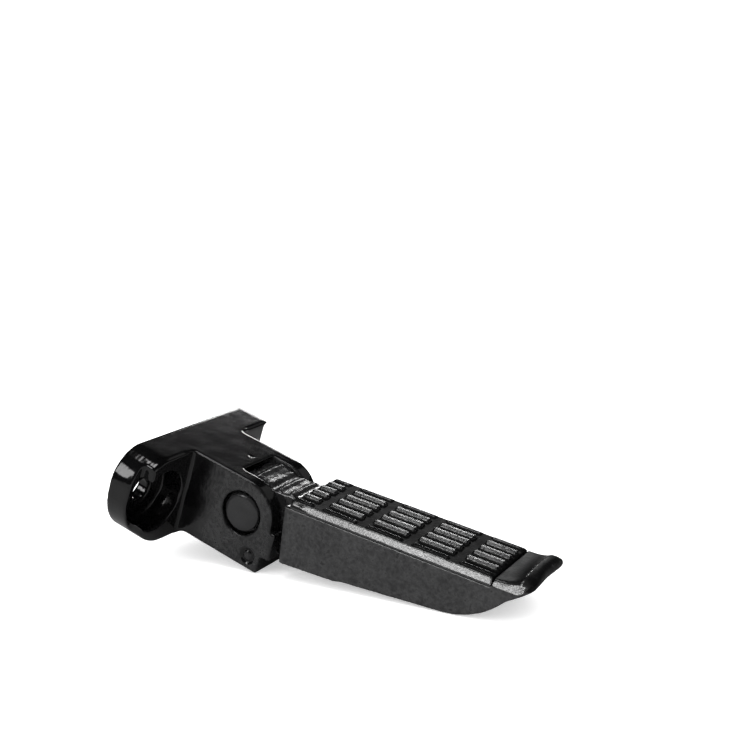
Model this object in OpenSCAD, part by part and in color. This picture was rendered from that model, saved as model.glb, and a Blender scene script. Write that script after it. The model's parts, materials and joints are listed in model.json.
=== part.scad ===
// Folding motorcycle foot peg: a cast mounting bracket with two ears, and a
// cast peg with a bonded rubber tread that folds up about a headed pivot pin.
// Frame: X outwards from the mounting face (X = 0), Z up (tread side), Y along
// the pivot pin. Y = 0 and Z = 0 pass midway between the two bolt holes.

/* [Bracket flange] */
// Thickness of the flange at its full height
flange_t = 14.7; // [13:0.1:16]
// Height of the low outer end of the near wing above the mounting face
low_t = 9.2; // [8:0.1:10.5]
// Thickness of metal left under the bolt heads
seat_t = 5.5; // [4.5:0.1:7]
// Distance between the two bolt holes
bolt_pitch = 56; // [54:0.5:58]
// Diameter of the bolt holes (clearance for M8)
bolt_d = 9; // [8.4:0.1:9.5]
// Diameter of the near bolt-head recess
near_recess_d = 23.6; // [21:0.1:24]
// Diameter of the far bolt-head recess
far_recess_d = 20.6; // [20.5:0.1:22.4]
// Upper corner radius of the rounded near end
end_r = 13; // [11:0.5:14]
// Lower corner radius of the rounded near end
end_r_low = 19.5; // [18:0.5:21]

/* [Bracket arm] */
// Width of the arm across its two ears
arm_w = 31; // [30:0.1:32]
// Depth of the arm from top to bottom
arm_h = 33.4; // [32:0.1:35]
// Radius of the round ear end about the pin
ear_r = 13.7; // [13.7:0.1:14]
// Width of the slot between the ears
slot_w = 19; // [18.8:0.1:19.6]
// Radius of the concave slot end about the pin
slot_r = 14.9; // [14.6:0.1:15.2]

/* [Pivot] */
// Distance of the pin from the mounting face
pin_x = 40.4; // [39:0.1:42]
// Diameter of the pin's shank
pin_d = 10; // [9.8:0.1:10]
// Diameter of the pin's head
head_d = 14.6; // [13.6:0.1:15.4]
// Angle at which the peg rises when it rests on its stop
lift = 8; // [6:0.5:9]

/* [Peg] */
// Width of the peg
peg_w = 32; // [31:0.1:33]
// Width of the knuckle between the ears
knuckle_w = 18.5; // [18.2:0.1:18.6]
// Radius of the knuckle's barrel
knuckle_r = 12.6; // [12:0.1:12.6]
// Wall thickness of the hollow underside
wall = 3; // [2.5:0.1:3.5]
// Thickness of the roof under the tread pad
roof = 3.2; // [2.8:0.1:4]

/* [Tread] */
// Spacing of the tread bars across the peg
bar_pitch = 5.35; // [5.2:0.05:5.4]
// Width of one tread bar
bar_w = 2.7; // [2.2:0.1:3]
// Height of the outermost bars above the pad
bar_h = 0.9; // [0.8:0.1:1.4]
// Extra height of the middle bars, which crowns the tread
crown = 0.3; // [0.2:0.1:1]
// Spacing of the bar rows along the peg
row_pitch = 18; // [17.6:0.1:18.2]
// Length of a full bar
bar_len = 14.2; // [12:0.1:15]

/* [Hidden] */
$fn = 64;

arm_y = 1.3;                 // centre plane of the arm and the peg
top_z = 17.5;                // top face of flange and arm
flange_bot = -18.8;
arm_bot = top_z - arm_h;
pin_z = top_z - 13.7;
near_end = -40.5;
far_end = 35.7;
near_y = -bolt_pitch / 2;
far_y = bolt_pitch / 2;
cut_y = -35.2;               // outer end of the full-height wall
y_near = arm_y - arm_w / 2;  // near side face of the arm
y_far = arm_y + arm_w / 2;   // far side face of the arm
stop_x = 16.2;               // stop pads, from the pin
toe_x = 12.4;                // lower toe of the ears, from the pin

ball_r = 4;
ball_c = 16.75;              // ball centre from the pin, lifted
ball_seat = 0.6;             // travel of the ball into a notch
bore_r = 4.15;
bore_end = 10.5;             // blind end of the detent bore
fold = 55;

seat_z = 9.4;                // tread pad's seat, peg frame
pad_top = 12.2;
pad_x0 = 20.6;
pad_x1 = 99.3;
stud_x = [35.5, 75.5];
bay_x = [[25, 43.6], [46.2, 63.8], [66.4, 84], [86.6, 96]];

black = [0.07, 0.07, 0.075];
rubber_black = [0.05, 0.05, 0.05];
steel = [0.62, 0.63, 0.65];
bronze = [0.55, 0.42, 0.24];

// a flat profile in X-Z, w thick, centred on y
module slab(w, y = 0) {
    translate([0, y + w / 2, 0]) rotate([90, 0, 0]) linear_extrude(w) children();
}
// a flat profile in Y-Z, from x0 to x1
module plate(x0, x1) {
    translate([x0, 0, 0]) rotate([90, 0, 90]) linear_extrude(x1 - x0) children();
}
// a cylinder along X
module rod_x(r, x0, x1, y, z) {
    translate([x0, y, z]) rotate([0, 90, 0]) cylinder(h = x1 - x0, r = r);
}
// a cylinder along Y
module rod_y(r, y0, y1, x = 0, z = 0) {
    translate([x, y0, z]) rotate([-90, 0, 0]) cylinder(h = y1 - y0, r = r);
}
// moves a part to the pin, in the arm's own direction
module at_pin() { translate([pin_x, arm_y, pin_z]) children(); }
// moves a part to the pin, raised as the peg is at rest
module in_peg() { at_pin() rotate([0, -lift, 0]) children(); }
// points along an arc
function arc(cx, cy, r, a0, a1, n) =
    [for (i = [0 : n]) let (a = a0 + (a1 - a0) * i / n) [cx + r * cos(a), cy + r * sin(a)]];

// ---------------------------------------------------------------- bracket
module flange_outline() {
    polygon(concat(
        arc(near_end + end_r, top_z - end_r, end_r, 180, 90, 16),
        arc(far_end - 2.5, top_z - 2.5, 2.5, 90, 0, 6),
        arc(far_end - 8, flange_bot + 8, 8, 0, -90, 10),
        arc(near_end + end_r_low, flange_bot + end_r_low, end_r_low, -90, -180, 20)));
}
module ear_profile() {
    polygon(concat(
        [[0, arm_bot - pin_z], [toe_x, arm_bot - pin_z], [toe_x, -12.4], [stop_x, -12.4],
         [stop_x, -1.4]],
        arc(0, 0, ear_r, -5.9, 90, 24)));
}
module root_fillet(side) {
    // fills the corner between the flange and the arm's side
    r = 1.2;
    y0 = arm_y + side * arm_w / 2;
    translate([flange_t - 0.01, y0 - side * 0.01, arm_bot]) mirror([0, side < 0 ? 1 : 0, 0])
        linear_extrude(arm_h - 1.5) polygon(concat([[0, 0]], arc(r, r, r, 270, 180, 8)));
}
module bracket_blank() {
    plate(0, low_t) flange_outline();
    plate(low_t - 0.01, flange_t) intersection() {
        flange_outline();
        translate([cut_y, -60]) square([120, 120]);
    }
    translate([0, arm_y - arm_w / 2, arm_bot]) cube([pin_x, arm_w, arm_h]);
    at_pin() slab(arm_w) ear_profile();
    root_fillet(1);
    root_fillet(-1);
    // blend under the arm, down to the flange's lower edge
    slab(arm_w, arm_y) polygon([[flange_t - 0.1, flange_bot], [15.6, -17.8], [17, -16.6],
        [19, arm_bot], [19, arm_bot + 0.5], [flange_t - 0.1, arm_bot + 0.5]]);
}
module bracket() {
    color(black) difference() {
        bracket_blank();
        // bolt holes and the recesses round their heads
        rod_x(bolt_d / 2, -1, flange_t + 1, near_y, 0);
        rod_x(bolt_d / 2, -1, flange_t + 1, far_y, 0);
        rod_x(near_recess_d / 2, seat_t, flange_t + 4, near_y, 0);
        rod_x(far_recess_d / 2, seat_t, flange_t + 4, far_y, 0);
        // slot for the knuckle, with a sloping floor that stops the peg
        at_pin() slab(slot_w) {
            circle(r = slot_r);
            rotate(lift) translate([0, -13.05]) square([60, 60]);
        }
        // pin bore, with sunk seats for the head and for the clip
        rod_y(pin_d / 2 + 0.05, y_near - 1, y_far + 1, pin_x, pin_z);
        rod_y(8.35, y_near - 1, y_near + 3.1, pin_x, pin_z);
        rod_y(9.2, y_far - 2.2, y_far + 1, pin_x, pin_z);
        // blind bore of the detent
        rod_x(bore_r, bore_end, pin_x - 10, arm_y, pin_z);
        // casting relief in the back of the arm
        translate([-1, arm_y - 8, -8]) cube([7, 16, 16]);
    }
}

// ------------------------------------------------------------------ pivot
module pivot_pin() {
    color(steel) difference() {
        union() {
            rod_y(head_d / 2, y_near + 0.15, y_near + 3.05, pin_x, pin_z);
            rod_y(pin_d / 2, y_near + 3, y_far + 1.2, pin_x, pin_z);
            translate([pin_x, y_far + 1.2, pin_z]) rotate([-90, 0, 0])
                cylinder(h = 0.8, r1 = pin_d / 2, r2 = pin_d / 2 - 0.8);
        }
        // groove for the clip
        translate([pin_x, y_far - 0.9, pin_z]) rotate([-90, 0, 0]) difference() {
            cylinder(h = 1.05, r = pin_d);
            translate([0, 0, -1]) cylinder(h = 4, r = 3.9);
        }
    }
}
module pin_washer() {
    color(steel) difference() {
        rod_y(8.6, y_far - 2.2, y_far - 1, pin_x, pin_z);
        rod_y(pin_d / 2 + 0.15, y_far - 4, y_far + 2, pin_x, pin_z);
    }
}
module pin_clip() {
    // three-lobed retaining clip, open on one side
    color(steel) translate([pin_x, y_far - 0.88, pin_z]) rotate([-90, 0, 0]) difference() {
        cylinder(h = 1, r = 7.6);
        translate([0, 0, -1]) cylinder(h = 3, r = 3.95);
        translate([-2.9, 0, -1]) cube([5.8, 12, 3]);
        for (a = [-30, 210]) rotate(a) translate([3.2, -1.3, -1]) cube([2.4, 2.6, 3]);
    }
}

// ----------------------------------------------------------------- detent
function coil(t) = let (n = 6.5, a = 360 * n * t)
    [bore_end + 0.6 + 8.6 * t, 3.05 * cos(a), 3.05 * sin(a)];
module detent_spring() {
    rings = 104; sides = 8; wire = 0.5;
    pts = [for (i = [0 : rings]) let (t = i / rings, c = coil(t), a = 360 * 6.5 * t)
        for (j = [0 : sides - 1]) let (b = 360 * j / sides)
            [c[0] + wire * sin(b), c[1] + wire * cos(b) * cos(a), c[2] + wire * cos(b) * sin(a)]];
    side = [for (i = [0 : rings - 1]) for (j = [0 : sides - 1])
        let (k = (j + 1) % sides)
        [i * sides + j, (i + 1) * sides + j, (i + 1) * sides + k, i * sides + k]];
    caps = [[for (j = [0 : sides - 1]) j], [for (j = [sides - 1 : -1 : 0]) rings * sides + j]];
    color(steel) translate([0, arm_y, pin_z]) polyhedron(points = pts, faces = concat(side, caps), convexity = 8);
}
module detent_ball() {
    color(steel) translate([pin_x - ball_c, arm_y, pin_z]) sphere(r = ball_r);
}

// -------------------------------------------------------------------- peg
module peg_profile() {
    polygon(concat(
        [[18.9, -12.9], [42.2, -11.4], [45, -10.6]],
        arc(80.4, 24.5, 31, -83.3, -37, 18),
        arc(110.7, 13.3, 2.9, -37, 95, 10),
        arc(99.6, 25.245, 13.045, -43.9, -90, 12),   // scoop behind the lip
        [[pad_x1 + 0.3, seat_z], [18.1, seat_z]]));
}
module peg_plan() {
    r = 6;
    polygon(concat(
        [[-30, -peg_w / 2]],
        arc(114 - r, -peg_w / 2 + r, r, -90, 0, 8),
        arc(114 - r, peg_w / 2 - r, r, 0, 90, 8),
        [[-30, peg_w / 2]]));
}
module knuckle_profile() {
    circle(r = knuckle_r);
    translate([0, -12.9]) square([20.4, 12.9 + 10.4]);
}
module bays() {
    for (b = bay_x) for (s = [-1, 1])
        translate([b[0], s > 0 ? 1.2 : -peg_w / 2 + wall, -40])
            cube([b[1] - b[0], peg_w / 2 - wall - 1.2, 40 + seat_z - roof]);
}
module peg_body() {
    color(black) in_peg() difference() {
        union() {
            difference() {
                intersection() {
                    slab(peg_w) peg_profile();
                    translate([0, 0, -40]) linear_extrude(80) peg_plan();
                }
                bays();
            }
            for (x = stud_x) translate([x, 0, seat_z - roof - 1.2]) cylinder(h = 2, r = 6.2);
            slab(knuckle_w) knuckle_profile();
            // rounded cross ribs, two on the neck and three on the barrel
            for (x = [10.6, 16]) rod_y(1.1, -8.2, 8.2, x, 10.1);
            for (a = [62, 87, 112]) rotate([0, -a, 0]) rod_y(1, -8.2, 8.2, 12.3, 0);
        }
        // bore for the bush, and washer seats in the knuckle's sides
        rod_y(6.5, -20, 20);
        rod_y(8.8, knuckle_w / 2 - 0.8, 20);
        rod_y(8.8, -20, -knuckle_w / 2 + 0.8);
        // notches for the detent ball, at both ends of the travel
        for (a = [180 - lift, 180 - lift - fold]) rotate([0, -a, 0])
            translate([ball_c - ball_seat, 0, 0]) sphere(r = ball_r + 0.15);
        // stud holes and clear space under them
        for (x = stud_x) {
            translate([x, 0, -5]) cylinder(h = 30, r = 2.7);
            translate([x, 0, -40]) cylinder(h = 40 + seat_z - roof - 1.2, r = 6.4);
        }
    }
}
module pivot_bush() {
    color(bronze) in_peg() difference() {
        rod_y(6.5, -8.3, 8.3);
        rod_y(pin_d / 2 + 0.04, -12, 12);
    }
}
module thrust_washer() {
    color(steel) in_peg() difference() {
        rod_y(8.5, knuckle_w / 2 - 0.78, slot_w / 2 - 0.03);
        rod_y(pin_d / 2 + 0.1, 0, 20);
    }
}
module wave_washer() {
    color(steel) in_peg() difference() {
        rod_y(8.5, -slot_w / 2 + 0.03, -knuckle_w / 2 + 0.78);
        rod_y(pin_d / 2 + 0.1, -20, 0);
    }
}

// ------------------------------------------------------------------ tread
function row_x(i) = i == 0 ? [21.4, 28.7]
    : i == 4 ? [row_x(1)[0] + 3 * row_pitch, 98.7]
    : [32.4 + (i - 1) * row_pitch, 32.4 + (i - 1) * row_pitch + bar_len];
module bar_section(h) {
    w = bar_w / 2;
    polygon([[-w, -0.5], [w, -0.5], [w, h - 0.7], [w - 0.7, h], [0.7 - w, h], [-w, h - 0.7]]);
}
module tread_pad() {
    hw = peg_w / 2 - 0.1;
    color(rubber_black) in_peg() difference() {
        union() {
            // bevelled base
            translate([pad_x0, 0, 0]) rotate([90, 0, 90]) linear_extrude(pad_x1 - pad_x0)
                polygon([[-hw, seat_z], [hw, seat_z], [hw, pad_top - 1.2], [hw - 1.25, pad_top],
                         [-hw + 1.25, pad_top], [-hw, pad_top - 1.2]]);
            // bars, in rows and columns
            for (i = [0 : 4]) for (j = [0 : 5])
                let (y = (j - 2.5) * bar_pitch, h = bar_h + crown * (1 - pow(abs(j - 2.5) / 2.5, 2)))
                translate([row_x(i)[0], y, pad_top]) rotate([90, 0, 90])
                    linear_extrude(row_x(i)[1] - row_x(i)[0]) bar_section(h);
        }
        // pocket for the steel plate
        translate([24, -12, seat_z - 1]) cube([72, 24, 2.5]);
    }
}
module pad_plate() {
    color(steel) in_peg() {
        translate([24.1, -11.9, seat_z + 0.02]) cube([71.8, 23.8, 1.4]);
        for (x = stud_x) translate([x, 0, seat_z - 11]) cylinder(h = 11.2, r = 2.5);
    }
}
module pad_washers() {
    color(steel) in_peg() for (x = stud_x) translate([x, 0, seat_z - roof - 1.2 - 1.02]) difference() {
        cylinder(h = 1, r = 5);
        translate([0, 0, -1]) cylinder(h = 3, r = 2.7);
    }
}
module pad_nuts() {
    color(steel) in_peg() for (x = stud_x) translate([x, 0, seat_z - roof - 1.2 - 1.04 - 4]) difference() {
        cylinder(h = 4, r = 4.6, $fn = 6);
        translate([0, 0, -1]) cylinder(h = 6, r = 2.53);
    }
}

bracket();
pivot_pin();
pin_washer();
pin_clip();
detent_spring();
detent_ball();
peg_body();
pivot_bush();
thrust_washer();
wave_washer();
tread_pad();
pad_plate();
pad_washers();
pad_nuts();
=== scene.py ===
import json, math
import bpy
import numpy as np
from mathutils import Matrix, Vector


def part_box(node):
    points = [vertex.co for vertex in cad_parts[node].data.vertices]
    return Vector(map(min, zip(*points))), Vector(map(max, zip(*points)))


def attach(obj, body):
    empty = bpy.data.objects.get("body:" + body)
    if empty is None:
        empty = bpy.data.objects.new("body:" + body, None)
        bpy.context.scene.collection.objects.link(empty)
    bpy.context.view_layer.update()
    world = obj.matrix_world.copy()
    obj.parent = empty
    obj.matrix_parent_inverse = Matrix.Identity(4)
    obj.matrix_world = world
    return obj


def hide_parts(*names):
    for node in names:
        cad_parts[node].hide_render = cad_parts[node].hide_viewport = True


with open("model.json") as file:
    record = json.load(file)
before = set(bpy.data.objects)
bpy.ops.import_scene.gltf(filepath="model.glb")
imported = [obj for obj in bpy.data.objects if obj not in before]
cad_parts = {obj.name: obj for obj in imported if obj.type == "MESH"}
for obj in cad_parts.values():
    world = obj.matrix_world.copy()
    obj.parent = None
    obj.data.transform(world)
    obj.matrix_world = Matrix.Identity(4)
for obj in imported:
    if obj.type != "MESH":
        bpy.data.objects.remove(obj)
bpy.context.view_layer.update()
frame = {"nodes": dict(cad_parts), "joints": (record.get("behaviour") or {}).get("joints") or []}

SC = bpy.context.scene
MM = 0.001

# ------------------------------------------------------------------ frame
# The pin's centre is read off the imported record; the peg's 8 degree lift is given.
fold = next(j for j in frame["joints"] if j["name"] == "peg_fold")
PIN = np.array(fold["pos_m"], float) * 1000
LIFT = math.radians(8.0)
CL, SL = math.cos(LIFT), math.sin(LIFT)


def to_peg(v):
    """part frame, mm -> peg frame, mm"""
    d = v - PIN
    return np.stack([d[:, 0] * CL + d[:, 2] * SL, d[:, 1], -d[:, 0] * SL + d[:, 2] * CL], 1)


def from_peg(v):
    """peg frame, mm -> part frame, mm"""
    v = np.asarray(v, float)
    return np.stack([v[:, 0] * CL - v[:, 2] * SL, v[:, 1], v[:, 0] * SL + v[:, 2] * CL], 1) + PIN


def box_mm(node):
    lo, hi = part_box(node)
    return np.array(lo) * 1000, np.array(hi) * 1000


# ----------------------------------------------------------------- meshes
def link(name, mesh):
    o = bpy.data.objects.new(name, mesh)
    SC.collection.objects.link(o)
    return o


def make(name, verts_mm, faces, smooth=True):
    m = bpy.data.meshes.new(name)
    m.from_pydata([tuple(p) for p in np.asarray(verts_mm, float) * MM], [], faces)
    m.validate()
    m.update()
    m.polygons.foreach_set("use_smooth", [smooth] * len(m.polygons))
    return link(name, m)


def voxel_copy(node, name, size_mm):
    """A closed, evenly meshed copy of a CAD node, for casting detail."""
    src = frame["nodes"][node]
    tmp = link(name + "_tmp", src.data.copy())
    r = tmp.modifiers.new("remesh", "REMESH")
    r.mode = "VOXEL"
    r.voxel_size = size_mm * MM
    r.adaptivity = 0.0
    dg = bpy.context.evaluated_depsgraph_get()
    m = bpy.data.meshes.new_from_object(tmp.evaluated_get(dg))
    m.name = name
    bpy.data.objects.remove(tmp)
    m.materials.clear()
    m.polygons.foreach_set("use_smooth", [True] * len(m.polygons))
    return link(name, m)


def get_co(o):
    co = np.empty(len(o.data.vertices) * 3, np.float32)
    o.data.vertices.foreach_get("co", co)
    return co.reshape(-1, 3).astype(float) * 1000


def set_co(o, v):
    o.data.vertices.foreach_set("co", (np.asarray(v) * MM).astype(np.float32).ravel())
    o.data.update()


def get_no(o):
    no = np.empty(len(o.data.vertices) * 3, np.float32)
    o.data.vertices.foreach_get("normal", no)
    return no.reshape(-1, 3).astype(float)


def edges_of(o):
    e = np.empty(len(o.data.edges) * 2, np.int32)
    o.data.edges.foreach_get("vertices", e)
    return e.reshape(-1, 2)


def relax(v, e, n, lam=0.5, w=None):
    """Plain Laplacian smoothing: rounds edges and leaves flats alone."""
    a, b = e[:, 0], e[:, 1]
    count = np.bincount(a, minlength=len(v)) + np.bincount(b, minlength=len(v))
    for _ in range(n):
        s = np.stack([np.bincount(a, v[b, k], len(v)) + np.bincount(b, v[a, k], len(v)) for k in range(3)], 1)
        d = s / np.maximum(count, 1)[:, None] - v
        v = v + lam * (d if w is None else d * w[:, None])
    return v


def ss(a, b, x):
    t = np.clip((x - a) / (b - a), 0, 1)
    return t * t * (3 - 2 * t)


def waves(v, scale, seed):
    """Smooth repeatable unevenness, about -1 to 1, feature size in mm."""
    rng = np.random.RandomState(seed)
    out = np.zeros(len(v))
    for _ in range(10):
        k = rng.normal(size=3)
        k = k / np.linalg.norm(k) * (2 * math.pi / scale) * rng.uniform(0.7, 1.5)
        out += np.sin(v @ k + rng.uniform(0, 6.28))
    return out / 4.0


# -------------------------------------------------------------- materials
def material(name, base, dark, rough, rough_var, grain, grain_size, peel, peel_size,
             coat=0.0, metallic=0.0, wear=0.12, wear_col=(0.09, 0.09, 0.095), spec=0.5, smudge=0.5,
             satin=None):
    """Procedural finish. Sizes are in mm, bump heights in mm. satin gives the second finish, which the mesh's own
    "satin" attribute blends in: (rough, base, dark, grain)."""
    m = bpy.data.materials.new(name)
    m.use_nodes = True
    nt = m.node_tree
    nt.nodes.clear()
    N, L = nt.nodes.new, nt.links.new
    out = N("ShaderNodeOutputMaterial")
    p = N("ShaderNodeBsdfPrincipled")
    L(p.outputs[0], out.inputs[0])
    p.inputs["Metallic"].default_value = metallic
    p.inputs["Specular IOR Level"].default_value = spec
    p.inputs["Coat Weight"].default_value = coat
    p.inputs["Coat Roughness"].default_value = 0.12
    tc = N("ShaderNodeTexCoord")

    def noise(size, detail=3.0, rough_=0.55, dist=0.0):
        n = N("ShaderNodeTexNoise")
        n.inputs["Scale"].default_value = 1000.0 / size
        n.inputs["Detail"].default_value = detail
        n.inputs["Roughness"].default_value = rough_
        n.inputs["Distortion"].default_value = dist
        L(tc.outputs["Object"], n.inputs["Vector"])
        return n

    def ramp(src, a, b, lo=0.0, hi=1.0):
        r = N("ShaderNodeMapRange")
        r.inputs["From Min"].default_value = a
        r.inputs["From Max"].default_value = b
        r.inputs["To Min"].default_value = lo
        r.inputs["To Max"].default_value = hi
        L(src, r.inputs["Value"])
        return r.outputs["Result"]

    def mixc(fac, a, b):
        x = N("ShaderNodeMix")
        x.data_type = "RGBA"
        L(fac, x.inputs[0])
        for sock, val in ((x.inputs[6], a), (x.inputs[7], b)):
            if isinstance(val, tuple):
                sock.default_value = (*val, 1)
            else:
                L(val, sock)
        return x.outputs[2]

    def math_(op, a, b):
        x = N("ShaderNodeMath")
        x.operation = op
        for sock, val in ((x.inputs[0], a), (x.inputs[1], b)):
            if isinstance(val, float):
                sock.default_value = val
            else:
                L(val, sock)
        return x.outputs[0]

    # colour: slow patches, fine specks, and paler rubbed edges
    patches = noise(14.0, 4.0, 0.6, 0.4)
    specks = noise(grain_size * 0.9, 2.0, 0.7)
    colour = mixc(ramp(patches.outputs["Fac"], 0.35, 0.68), dark, base)
    mask = None
    if satin:
        at = N("ShaderNodeAttribute")
        at.attribute_name = "satin"
        mask = at.outputs["Fac"]
        mottle = math_("ADD", math_("MULTIPLY", patches.outputs["Fac"], 0.28),
                       math_("MULTIPLY", noise(1.9, 4.0, 0.75, 0.3).outputs["Fac"], 0.72))
        colour = mixc(mask, colour, mixc(ramp(mottle, 0.40, 0.60), satin[2], satin[1]))
        pits = ramp(noise(1.9, 2.0, 0.5).outputs["Fac"], 0.66, 0.72, 0.0, 0.75)
        colour = mixc(math_("MULTIPLY", pits, mask), colour, dark)
    colour = mixc(ramp(specks.outputs["Fac"], 0.60, 0.78, 0.0, 0.16 * wear), colour, wear_col)
    geo = N("ShaderNodeNewGeometry")
    edge = ramp(geo.outputs["Pointiness"], 0.53, 0.62)
    rub = ramp(noise(2.2, 4.0, 0.7).outputs["Fac"], 0.42, 0.66)
    worn = math_("MULTIPLY", math_("MULTIPLY", edge, rub), wear)
    colour = mixc(worn, colour, wear_col)
    L(colour, p.inputs["Base Color"])
    # roughness: handling smudges over fine variation
    r = ramp(noise(9.0, 5.0, 0.65, 0.8).outputs["Fac"], 0.3, 0.7, rough - rough_var, rough + rough_var)
    r = math_("ADD", r, ramp(specks.outputs["Fac"], 0.3, 0.7, -0.04 * smudge, 0.06 * smudge))
    if satin:
        r = math_("ADD", r, math_("MULTIPLY", mask, float(satin[0] - rough)))
    r = math_("ADD", r, math_("MULTIPLY", worn, 0.5))
    L(r, p.inputs["Roughness"])
    # bump: orange peel under fine casting grain
    b1 = N("ShaderNodeBump")
    b1.inputs["Strength"].default_value = 1.0
    b1.inputs["Distance"].default_value = peel * MM
    L(noise(peel_size, 2.0, 0.5).outputs["Fac"], b1.inputs["Height"])
    b2 = N("ShaderNodeBump")
    b2.inputs["Strength"].default_value = 1.0
    height = noise(grain_size, 2.5, 0.6).outputs["Fac"]
    if satin:
        b2.inputs["Distance"].default_value = MM
        share = math_("ADD", math_("MULTIPLY", mask, float(satin[3] - grain)), float(grain))
        L(math_("MULTIPLY", height, share), b2.inputs["Height"])
    else:
        b2.inputs["Distance"].default_value = grain * MM
        L(height, b2.inputs["Height"])
    L(b1.outputs[0], b2.inputs["Normal"])
    L(b2.outputs[0], p.inputs["Normal"])
    return m


BLACK = dict(base=(0.0026, 0.0026, 0.0028), dark=(0.0013, 0.0013, 0.0014))
SATIN = (0.40, (0.0225, 0.0225, 0.023), (0.0075, 0.0075, 0.008))
paint = material("gloss_paint", rough=0.10, rough_var=0.03, smudge=0.1, grain=0.006, grain_size=1.3,
                 peel=0.02, peel_size=4.0, wear=0.2, satin=(0.25, (0.024, 0.024, 0.0245), (0.006, 0.006, 0.0065), 0.10),
                 **BLACK)
cast = material("satin_cast", rough=0.15, rough_var=0.05, grain=0.04, grain_size=1.25,
                peel=0.03, peel_size=3.5, wear=0.2, satin=(*SATIN, 0.20), **BLACK)
tread_matte = material("tread_matte", rough=0.55, rough_var=0.08, grain=0.12, grain_size=1.1,
                       peel=0.10, peel_size=2.4, wear=0.15, spec=0.07, **BLACK)
scoop_matte = material("scoop_matte", rough=0.42, rough_var=0.08, grain=0.08, grain_size=1.1,
                       peel=0.04, peel_size=2.4, wear=0.4, spec=0.09, **BLACK)
rim_satin = material("rim_satin", rough=0.42, rough_var=0.06, grain=0.16, grain_size=1.25,
                     peel=0.05, peel_size=2.4, wear=0.3, base=(0.018, 0.018, 0.0185), dark=(0.010, 0.010, 0.0105))
tread_gloss = material("tread_gloss", rough=0.2, rough_var=0.06, grain=0.10, grain_size=0.62,
                       peel=0.05, peel_size=2.4, wear=0.2, **BLACK)
pinmat = material("pin_black", rough=0.19, rough_var=0.08, grain=0.09, grain_size=1.2,
                  peel=0.12, peel_size=3.0, wear=0.5,
                  base=(0.016, 0.016, 0.0165), dark=(0.007, 0.007, 0.0075))
steel = material("zinc_steel", rough=0.32, rough_var=0.08, grain=0.02, grain_size=0.6,
                 peel=0.03, peel_size=2.0, metallic=1.0, wear=0.3, wear_col=(0.62, 0.62, 0.6),
                 base=(0.42, 0.42, 0.41), dark=(0.3, 0.3, 0.3))
bronze = material("bush_bronze", rough=0.35, rough_var=0.08, grain=0.02, grain_size=0.5,
                  peel=0.02, peel_size=2.0, metallic=1.0, wear=0.3, wear_col=(0.6, 0.48, 0.3),
                  base=(0.42, 0.29, 0.14), dark=(0.28, 0.19, 0.09))


def set_mask(o, values):
    a = o.data.attributes.new("satin", "FLOAT", "POINT")
    a.data.foreach_set("value", np.clip(values, 0, 1).astype(np.float32))


def relax_mask(m, e, n):
    a, b = e[:, 0], e[:, 1]
    count = np.maximum(np.bincount(a, minlength=len(m)) + np.bincount(b, minlength=len(m)), 1)
    for _ in range(n):
        m = 0.5 * m + 0.5 * (np.bincount(a, m[b], len(m)) + np.bincount(b, m[a], len(m))) / count
    return m


def finish_piece(o, mat, body, slot, *nodes):
    o.data.materials.clear()
    for one in mat if isinstance(mat, list) else [mat]:
        o.data.materials.append(one)
    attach(o, body)
    if nodes:
        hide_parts(*nodes)
    return o


# ---------------------------------------------------------------- bracket
blo, bhi = box_mm("bracket")
TOP, BOT, NEAR, FAR = bhi[2], blo[2], blo[1], bhi[1]
FT = 14.7                      # flange thickness
ARM_Y, ARM_HW = PIN[1], 15.5   # arm's centre plane and half width

br = voxel_copy("bracket", "bracket_cast", 0.4)
v = get_co(br)
e = edges_of(br)
v = relax(v, e, 3)


def outline_depth(y, z):
    """Depth inside the flange's outline and the inward direction, near the top and the near end."""
    r = 13.0
    cy, cz = NEAR + r, TOP - r
    d_top = TOP - z
    iny, inz = np.zeros_like(y), -np.ones_like(z)
    corner = (y < cy) & (z > cz)
    ry, rz = y - cy, z - cz
    rr = np.hypot(ry, rz) + 1e-9
    d = np.where(corner, r - rr, d_top)
    iny = np.where(corner, -ry / rr, iny)
    inz = np.where(corner, -rz / rr, inz)
    return d, iny, inz


# a 2 mm fillet along the top front edge of both wings
d, iny, inz = outline_depth(v[:, 1], v[:, 2])
t = FT - v[:, 0]
R = 2.0
wing = (v[:, 1] < ARM_Y - ARM_HW - 2.6) | (v[:, 1] > ARM_Y + ARM_HW + 2.6)
fade = np.where(v[:, 1] < 0, ss(ARM_Y - ARM_HW - 2.4, ARM_Y - ARM_HW - 4.2, v[:, 1]),
                ss(ARM_Y + ARM_HW + 2.4, ARM_Y + ARM_HW + 4.2, v[:, 1]))
zone = wing & (d < R) & (t < R) & (d > -0.5) & (t > -0.5) & (v[:, 2] > 2)
a, b = R - d, R - t
h = np.hypot(a, b)
k = np.where(h > R, 1 - R / np.maximum(h, 1e-9), 0) * zone * fade
v[:, 1] += iny * a * k
v[:, 2] += inz * a * k
v[:, 0] -= b * k
# the far wing's end steps in under a thin top lip and is rounded there
below = ss(16.7, 15.9, v[:, 2])
v[:, 1] -= ss(28.0, FAR, v[:, 1]) * (0.6 + 1.0 * below)
FE = FAR - 1.6
a, b = 3.4 - (FE - v[:, 1]), 3.4 - (FT - v[:, 0])
h = np.hypot(a, b)
corner = (v[:, 1] > FE - 3.4) & (v[:, 0] > FT - 3.4) & (h > 3.4)
k = np.where(corner, 1 - 3.4 / np.maximum(h, 1e-9), 0) * below
v[:, 1] -= a * k
v[:, 0] -= b * k
v = relax(v, e, 4)

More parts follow.
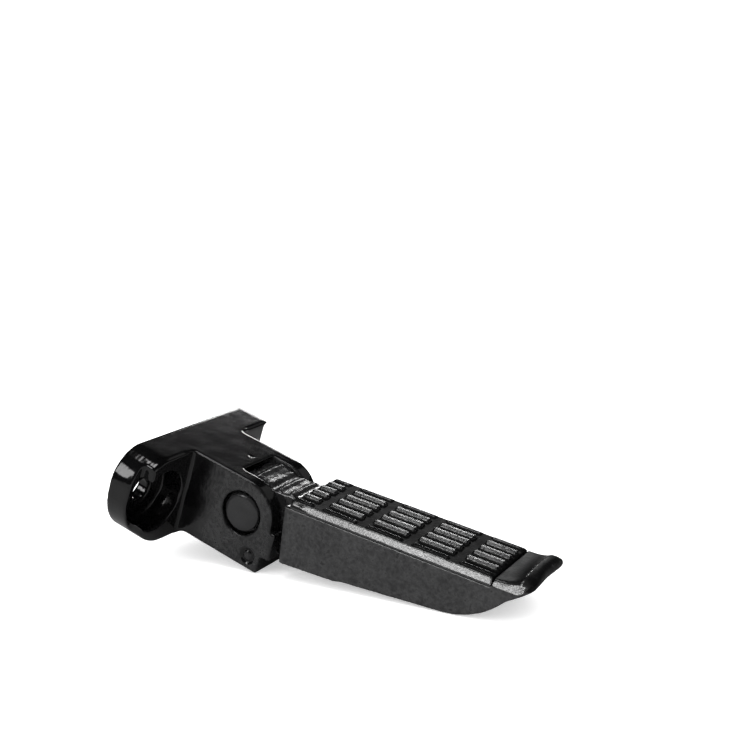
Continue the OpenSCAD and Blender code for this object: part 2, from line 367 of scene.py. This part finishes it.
# round casting mark on the near ear, and a small pit on the arm's top
near_face = ARM_Y - ARM_HW
dm = np.hypot(v[:, 0] - 47.7, v[:, 2] + 10.7)
on = np.abs(v[:, 1] - near_face) < 0.35
v[:, 1] += on * (0.65 * (1 - ss(2.6, 3.2, dm)) - 0.45 * (1 - ss(1.5, 2.1, dm)))
dp = np.hypot(v[:, 0] - 29.3, v[:, 1] - 2.5)
v[:, 2] -= (v[:, 2] > TOP - 0.35) * 0.28 * (1 - ss(0.4, 1.1, dp))
# slight unevenness of the casting, kept off the mounting face and inside the box
br.data.update()
set_co(br, v)
no = get_no(br)
w = waves(v, 7.0, 3) * 0.025 + waves(v, 2.4, 5) * 0.012
keep = ss(0.3, 1.2, v[:, 0])
flat = ss(0.9, 0.98, no[:, 2])
v = v + no * ((w * (1 - 0.88 * flat) - 0.03) * keep)[:, None]
# crisp broken edge along the arm's near top edge
cut = (TOP - v[:, 2]) * 0.5 + (v[:, 1] - near_face - 0.03) * 0.866 - 0.30
zone = (cut < 0) & (cut > -0.6) & (v[:, 0] > FT + 0.8) & (v[:, 0] < 40) & (v[:, 1] < 0) & (v[:, 2] > TOP - 1.4)
v[:, 2] += np.where(zone, cut * 0.5, 0)
v[:, 1] -= np.where(zone, cut * 0.866, 0)
v = np.clip(v, blo + 0.0, bhi - 0.0)
set_co(br, v)
side = ss(0.6, 0.9, np.abs(no[:, 1])) * ss(20, 30, v[:, 0]) * ss(60.0, 52.0, v[:, 0])
side = relax_mask(side, e, 12)
dm = np.hypot(v[:, 0] - 47.7, v[:, 2] + 10.7)
# the raised ring of the casting mark on the near ear, and its flanks, are taken out of the satin finish: a glossier
# finish there, and a darker black that is painted shade outlining the mark's relief
side *= 1 - 0.9 * (v[:, 1] < 0) * ss(1.3, 1.9, dm) * (1 - ss(3.0, 3.6, dm))
set_mask(br, side)
finish_piece(br, paint, "bracket", "bracket", "bracket")

# --------------------------------------------------------------- peg body
plo, phi = box_mm("peg_body")
pb = voxel_copy("peg_body", "peg_cast", 0.42)
v = get_co(pb)
e = edges_of(pb)
v = relax(v, e, 3)
q = to_peg(v)
# the raised lip at the tip: its ridge is arched, and comes down to the side edges
x, y, z = q[:, 0], np.abs(q[:, 1]), q[:, 2]
ZT = 12.2
k = np.clip(1 - (np.clip(y, 0, 14.8) / 14.8) ** 2.6, 0, 1) ** 0.45
zone = (x > 99.3) & (z > ZT)
q[:, 2] = np.where(zone, ZT + (z - ZT) * k, q[:, 2])
# the bevel beside the tread runs on to the tip's corners
bevel = ZT - (y - 14.72) * 1.80
zone = (x > 99.35) & (x < 111) & (y > 14.6) & (q[:, 2] > 9.9)
q[:, 2] = np.where(zone, np.minimum(q[:, 2], bevel), q[:, 2])
# shallow dip along the tip's end face
q[:, 0] -= ss(110, 113.6, x) * 0.5 * np.exp(-(q[:, 1] / 6.0) ** 2)
v = from_peg(q)
v = relax(v, e, 4)
set_co(pb, v)
no = get_no(pb)
q = to_peg(v)
w = waves(v, 6.0, 11) * 0.03 + waves(v, 2.0, 12) * 0.014
keep = 1 - 0.85 * ((q[:, 0] > 99.6) & (q[:, 2] > 12.0) & (q[:, 0] < 109.5))
v = v + no * (w * keep * (1 + 2.2 * ss(18, 15, q[:, 0])) - 0.035)[:, None]
set_co(pb, np.clip(v, plo, phi))
nz = -no[:, 0] * SL + no[:, 2] * CL
side = np.maximum(ss(0.45, 0.8, np.abs(no[:, 1])), ss(0.1, 0.5, -nz)) * ss(17.0, 20.0, q[:, 0])
side = np.maximum(side, 0.3 * ss(108.6, 110.5, q[:, 0]))
side = np.maximum(side, 0.4 * ss(18.5, 16.0, q[:, 0]))
set_mask(pb, relax_mask(side, e, 4))
finish_piece(pb, [cast, scoop_matte, tread_gloss], "peg", "peg", "peg_body")
pc = np.empty(len(pb.data.polygons) * 3, np.float32)
pb.data.polygons.foreach_get("center", pc)
pc = to_peg(pc.reshape(-1, 3).astype(float) * 1000)
pn = np.empty(len(pb.data.polygons) * 3, np.float32)
pb.data.polygons.foreach_get("normal", pn)
pn = pn.reshape(-1, 3)
pnz = -pn[:, 0] * SL + pn[:, 2] * CL
rim = ((pc[:, 0] > 99.2) & (pc[:, 0] < 110.5) & (np.abs(pc[:, 1]) > 14.3) & (pc[:, 2] > 10.0)
       & (pnz > 0.2) & (pnz < 0.9) & (pc[:, 2] < 12.6))
ridge = (pc[:, 0] > 108.7) & (pc[:, 0] < 109.2) & (pc[:, 2] > 12.6) & (pnz > 0.5)
scoop = (pc[:, 0] > 99.2) & (pc[:, 2] > 11.6) & (pnz > -0.2) & ~rim
pb.data.polygons.foreach_set("material_index", np.where(rim | ridge, 2, np.where(scoop, 1, 0)).astype(np.int32))

# -------------------------------------------------------------- tread pad
X0, X1, HW, SEAT, PT = 20.6, 99.3, 15.9, 9.4, 12.2
tlo, thi = box_mm("tread_pad")
verts, faces = [], []


def add_rings(rings, cap_top=True, cap_bottom=True):
    """Stacks closed loops of points, in the peg frame, into one closed solid."""
    base = len(verts)
    n = len(rings[0])
    for r in rings:
        verts.extend(r)
    for i in range(len(rings) - 1):
        for j in range(n):
            k = (j + 1) % n
            faces.append((base + i * n + j, base + i * n + k, base + (i + 1) * n + k, base + (i + 1) * n + j))
    if cap_bottom:
        faces.append(tuple(base + j for j in range(n - 1, -1, -1)))
    if cap_top:
        faces.append(tuple(base + (len(rings) - 1) * n + j for j in range(n)))


def base_section():
    """Half-round bevelled section of the pad's base, y and z."""
    pts = [(-HW, SEAT), (-HW, SEAT + 0.3), (-HW, PT - 2.22)]
    # rounded start of the bevel, the bevel, its rounded end
    for tt in (0.0, 0.25, 0.5, 0.75, 1.0):
        pts.append((-HW + 0.06 + 1.10 * tt, PT - 2.10 + 1.98 * tt))
    pts.append((-HW + 1.30, PT))
    flat = np.linspace(-HW + 1.7, HW - 1.7, 33)
    pts += [(yy, PT) for yy in flat]
    return pts + [(-a_, b_) for a_, b_ in reversed(pts[:9])]


sec = base_section()
xs = np.concatenate([[X0, X0 + 0.25, X0 + 0.6], np.linspace(X0 + 1.2, X1 - 1.2, 120), [X1 - 0.6, X1 - 0.25, X1]])
drop = np.interp(xs, [X0, X0 + 0.25, X0 + 0.6, X0 + 1.2, X1 - 1.2, X1 - 0.6, X1 - 0.25, X1],
                 [0.5, 0.18, 0.03, 0, 0, 0.03, 0.12, 0.3])
rings = []
rng = np.random.RandomState(4)
for xi, dz in zip(xs, drop):
    ring = []
    for (yy, zz) in sec:
        s = (zz - SEAT) / (PT - SEAT)
        # the bevel starts as a point at the inner end
        if 10.05 < zz < PT - 0.01:
            grow = float(ss(X0 - 1.0, X0 + 9.0, np.array(xi)))
            zz, yy = zz + (1 - grow) * (PT - zz) * 0.8, yy + (1 - grow) * 0.0
        ring.append((xi, yy, zz - dz * s))
    rings.append(ring)
add_rings(rings)


def rounded(cx, cy, hx, hy, r, n=6):
    pts = []
    for qx, qy, a0 in ((1, 1, 0), (-1, 1, 90), (-1, -1, 180), (1, -1, 270)):
        for i in range(n + 1):
            an = math.radians(a0 + 90 * i / n)
            pts.append((cx + qx * (hx - r) + r * math.cos(an), cy + qy * (hy - r) + r * math.sin(an)))
    return pts


top_of = lambda yy: PT + 0.9 + 0.3 * (1 - (abs(yy) / 13.375) ** 2)
ROWS = [(21.4, 28.7), (32.4, 46.6), (50.4, 64.6), (68.4, 82.6), (86.4, 98.7)]
for (xa, xb) in ROWS:
    for j in range(6):
        cy = (j - 2.5) * 5.35
        cx, hx, hy = (xa + xb) / 2, (xb - xa) / 2, 1.35 if 0 < j < 5 else 1.18
        zt = top_of(cy)
        # moulded foot, wall, 0.5 mm broken edge and a nearly flat top
        steps = [(-0.30, PT - 0.4), (-0.28, PT - 0.02), (-0.10, PT + 0.12), (0.0, PT + 0.30), (0.03, zt - 0.56),
                 (0.09, zt - 0.46), (0.17, zt - 0.36), (0.46, zt - 0.10), (0.58, zt - 0.035), (0.70, zt - 0.010),
                 (0.88, zt)]
        rings = []
        for ins, zz in steps:
            r = max(0.95 - max(ins, 0) * 0.9, 0.2)
            rings.append([(px, py, zz) for px, py in rounded(cx, cy, hx - ins, hy - ins, r)])
        add_rings(rings, cap_bottom=True)
pv = np.array(verts)
ay = np.abs(pv[:, 1])
fall = np.clip(ay - 12.02, 0, None) * 0.24 * ss(PT + 0.1, PT + 0.3, pv[:, 2])
pv[:, 2] -= np.where(pv[:, 2] > PT + 0.1, fall, 0)
pts = from_peg(pv)
pts = np.clip(pts, tlo, thi)
tp = make("tread_pad_moulded", pts, faces)
tp.data.set_sharp_from_angle(angle=math.radians(60))
finish_piece(tp, [tread_matte, tread_gloss, rim_satin], "peg", "tread", "tread_pad")
for poly in tp.data.polygons:
    c = pv[list(poly.vertices)].mean(0)
    on_side = abs(c[1]) > HW - 0.03
    on_bevel = not on_side and abs(c[1]) > 14.55 and 9.9 < c[2] < PT + 0.01
    on_top = c[2] > PT + 0.4
    poly.material_index = 2 if on_side else 1 if on_bevel or on_top else 0


# ------------------------------------------------------------------- pin
def lathe_y(name, profile, cx, cz, n=96):
    """Turned piece about an axis along Y: (radius, y) pairs, closed on the axis at both ends."""
    vs, fs = [], []
    prof = [p_ for p_ in profile if p_[0] > 1e-6]
    for r, yy in prof:
        for i in range(n):
            an = 2 * math.pi * i / n
            vs.append((cx + r * math.cos(an), yy, cz + r * math.sin(an)))
    for i in range(len(prof) - 1):
        for j in range(n):
            k = (j + 1) % n
            fs.append((i * n + j, i * n + k, (i + 1) * n + k, (i + 1) * n + j))
    vs.append((cx, profile[0][1], cz))
    vs.append((cx, profile[-1][1], cz))
    a_, b_ = len(vs) - 2, len(vs) - 1
    for j in range(n):
        k = (j + 1) % n
        fs.append((a_, k, j))
        fs.append((b_, (len(prof) - 1) * n + j, (len(prof) - 1) * n + k))
    return make(name, vs, fs)


nlo, nhi = box_mm("pivot_pin")
yf = nlo[1]
head_r = (nhi[0] - nlo[0]) / 2
ye = nhi[1]
tail = [(4.2, ye), (4.7, ye - 0.25), (5.0, ye - 0.8), (5.0, ye - 1.85)]
prof = [(0, yf + 0.02), (2.0, yf + 0.02), (4.0, yf + 0.03), (5.6, yf + 0.06), (6.2, yf + 0.12), (6.75, yf + 0.28),
        (7.1, yf + 0.55), (7.26, yf + 0.9), (head_r, yf + 1.3), (head_r, yf + 2.6), (7.1, yf + 2.88), (5.3, yf + 2.9),
        (5.0, yf + 3.0), (5.0, ye - 2.95), (4.95, ye - 2.9), (3.9, ye - 2.88), (3.9, ye - 1.88), (4.95, ye - 1.85)]
prof += [(r, yy) for r, yy in reversed(tail)] + [(0, ye)]
pin = lathe_y("pivot_pin_turned", prof, PIN[0], PIN[2])
pin.data.set_sharp_from_angle(angle=math.radians(50))
finish_piece(pin, pinmat, "bracket", "pin", "pivot_pin")

# ------------------------------------------------------ hardware as packed
for name, mat in (("pin_washer", steel), ("pin_clip", steel), ("detent_spring", steel), ("detent_ball", steel),
                  ("pivot_bush", bronze), ("thrust_washer", steel), ("wave_washer", steel), ("pad_plate", steel),
                  ("pad_washers", steel), ("pad_nuts", steel)):
    o = frame["nodes"][name]
    for i in range(len(o.material_slots)):
        o.material_slots[i].material = mat
    if name not in ("detent_spring", "detent_ball"):
        wd = o.modifiers.new("weld", "WELD")
        wd.merge_threshold = 0.00001
        bv = o.modifiers.new("edge", "BEVEL")
        bv.width = 0.00012
        bv.segments = 2
        bv.limit_method = "ANGLE"
        bv.angle_limit = math.radians(40)

# ----------------------------------------------------------------- stage
allv = np.concatenate([get_co(o) for o in (br, pb)])
hx, hz = allv[:, 0], allv[:, 2]
# the piece lies on the toe of its ears and on the peg's belly
best = None
for deg in np.arange(16, 30, 0.1):
    nx, nz = -math.sin(math.radians(deg)), math.cos(math.radians(deg))
    dist = nx * hx + nz * hz
    gap = dist[hx < 70].min() - dist[hx > 90].min()
    if best is None or abs(gap) < best[0]:
        best = (abs(gap), deg, dist.min())
TILT, FLOOR = math.radians(best[1]), best[2] - 0.15
UP = Vector((-math.sin(TILT), 0, math.cos(TILT)))
centre = Vector((75, 0, 0))
centre = (centre + UP * (FLOOR - centre.dot(UP))) * MM
size = 3.0
fm = bpy.data.meshes.new("floor")
ax, ay = Vector((math.cos(TILT), 0, math.sin(TILT))), Vector((0, 1, 0))
grid = 24
fv, ff = [], []
for i in range(grid + 1):
    for j in range(grid + 1):
        fv.append(centre + ax * size * (i / grid - 0.5) * 2 + ay * size * (j / grid - 0.5) * 2)
for i in range(grid):
    for j in range(grid):
        a_ = i * (grid + 1) + j
        ff.append((a_, a_ + grid + 1, a_ + grid + 2, a_ + 1))
fm.from_pydata([tuple(p_) for p_ in fv], [], ff)
fm.update()
floor = link("floor", fm)
fmat = bpy.data.materials.new("floor_white")
fmat.use_nodes = True
fnt = fmat.node_tree
fp = fnt.nodes["Principled BSDF"]
fp.inputs["Base Color"].default_value = (0.9, 0.9, 0.9, 1)
fp.inputs["Roughness"].default_value = 0.9
fp.inputs["Specular IOR Level"].default_value = 0.1
tr = fnt.nodes.new("ShaderNodeBsdfTransparent")
mx = fnt.nodes.new("ShaderNodeMixShader")
gg = fnt.nodes.new("ShaderNodeNewGeometry")
fnt.links.new(gg.outputs["Backfacing"], mx.inputs[0])
lp = fnt.nodes.new("ShaderNodeLightPath")
dimmer = fnt.nodes.new("ShaderNodeMix")
dimmer.data_type = "RGBA"
dimmer.inputs[6].default_value = (0.9, 0.9, 0.9, 1)
dimmer.inputs[7].default_value = (0.26, 0.26, 0.26, 1)
fnt.links.new(lp.outputs["Is Glossy Ray"], dimmer.inputs[0])
fnt.links.new(dimmer.outputs[2], fp.inputs["Base Color"])
fp.inputs["Emission Color"].default_value = (1, 1, 1, 1)
glow = fnt.nodes.new("ShaderNodeMath")
glow.operation = "MULTIPLY"
glow.inputs[1].default_value = 0.42
fnt.links.new(lp.outputs["Is Camera Ray"], glow.inputs[0])
fnt.links.new(glow.outputs[0], fp.inputs["Emission Strength"])
fnt.links.new(fp.outputs[0], mx.inputs[1])
fnt.links.new(tr.outputs[0], mx.inputs[2])
fnt.links.new(mx.outputs[0], fnt.nodes["Material Output"].inputs[0])
floor.data.materials.append(fmat)

world = bpy.data.worlds.new("studio")
SC.world = world
world.use_nodes = True
bg = world.node_tree.nodes["Background"]
bg.inputs[0].default_value = (1, 1, 1, 1)
bg.inputs[1].default_value = 1.5
world.cycles_visibility.glossy = False

SUBJ = Vector((0.070, 0.0, 0.005))


def softbox(name, direction, dist, sx, sy, radiance, along=None):
    """A soft light in a direction from the piece, facing it; radiance is what a mirror would show."""
    ld = bpy.data.lights.new(name, "AREA")
    ld.shape = "RECTANGLE"
    ld.size, ld.size_y = sx, sy
    ld.energy = radiance * math.pi * sx * sy
    o = bpy.data.objects.new(name, ld)
    SC.collection.objects.link(o)
    dv = Vector(direction).normalized()
    o.location = SUBJ + dv * dist
    o.rotation_mode = "QUATERNION"
    o.rotation_quaternion = (-dv).to_track_quat("-Z", "Y")
    if along:
        ex = Vector(along)
        ex = (ex - dv * ex.dot(dv)).normalized()
        ey = dv.cross(ex)
        o.rotation_quaternion = Matrix((ex, ey, dv)).transposed().to_quaternion()
    o.visible_camera = False
    return o


softbox("front_left", (-0.567, -0.772, 0.309), 1.0, 0.13, 0.46, 7.0)
# the peg's own key light: on the bracket's flat glossy top it would only burn out seen from behind
high = softbox("front_high", (-0.335, -0.840, 0.485), 1.03, 0.36, 0.30, 22.0)
peg_only = bpy.data.collections.new("peg_only")
for lit in (pb, tp):
    peg_only.objects.link(lit)
high.light_linking.receiver_collection = peg_only
softbox("bar_strip", (-0.42, 0.84, 0.322), 1.6, 0.62, 0.09, 20.0)
softbox("left_back", (-0.68, 0.60, 0.42), 1.6, 0.9, 0.5, 0.06)
softbox("left_wall", (-1.0, -0.30, 0.15), 1.6, 0.9, 0.7, 0.20)
softbox("right_box", (1.0, -0.12, 0.42), 1.7, 1.1, 0.8, 0.9)
softbox("far_fill", (0.3, 1.0, 0.75), 1.8, 1.0, 0.6, 0.25)
over = softbox("overhead", (-0.45, -0.15, 0.87), 0.5, 0.215, 0.15, 7.0, along=(1, 0, 0))
over.location = (-0.1325, -0.075, 0.45)
over.rotation_mode = "XYZ"
over.rotation_euler = (0, 0, 0)

# ---------------------------------------------------------------- camera
cam = bpy.data.objects.new("camera", bpy.data.cameras.new("camera"))
SC.collection.objects.link(cam)
SC.camera = cam
right = Vector((0.82863, 0.49037, 0.27002)).normalized()
upv = Vector((-0.40059, 0.18249, 0.8979))
back = right.cross(upv).normalized()
upv = back.cross(right)
cam.matrix_world = Matrix((
    (right.x, upv.x, back.x, 0.22582),
    (right.y, upv.y, back.y, -0.34369),
    (right.z, upv.z, back.z, 0.21226),
    (0, 0, 0, 1)))
cam.data.sensor_width = 36
cam.data.sensor_fit = "HORIZONTAL"
cam.data.lens = 56.3138
cam.data.clip_start, cam.data.clip_end = 0.01, 50

SC.view_settings.view_transform = "Standard"
SC.view_settings.look = "None"
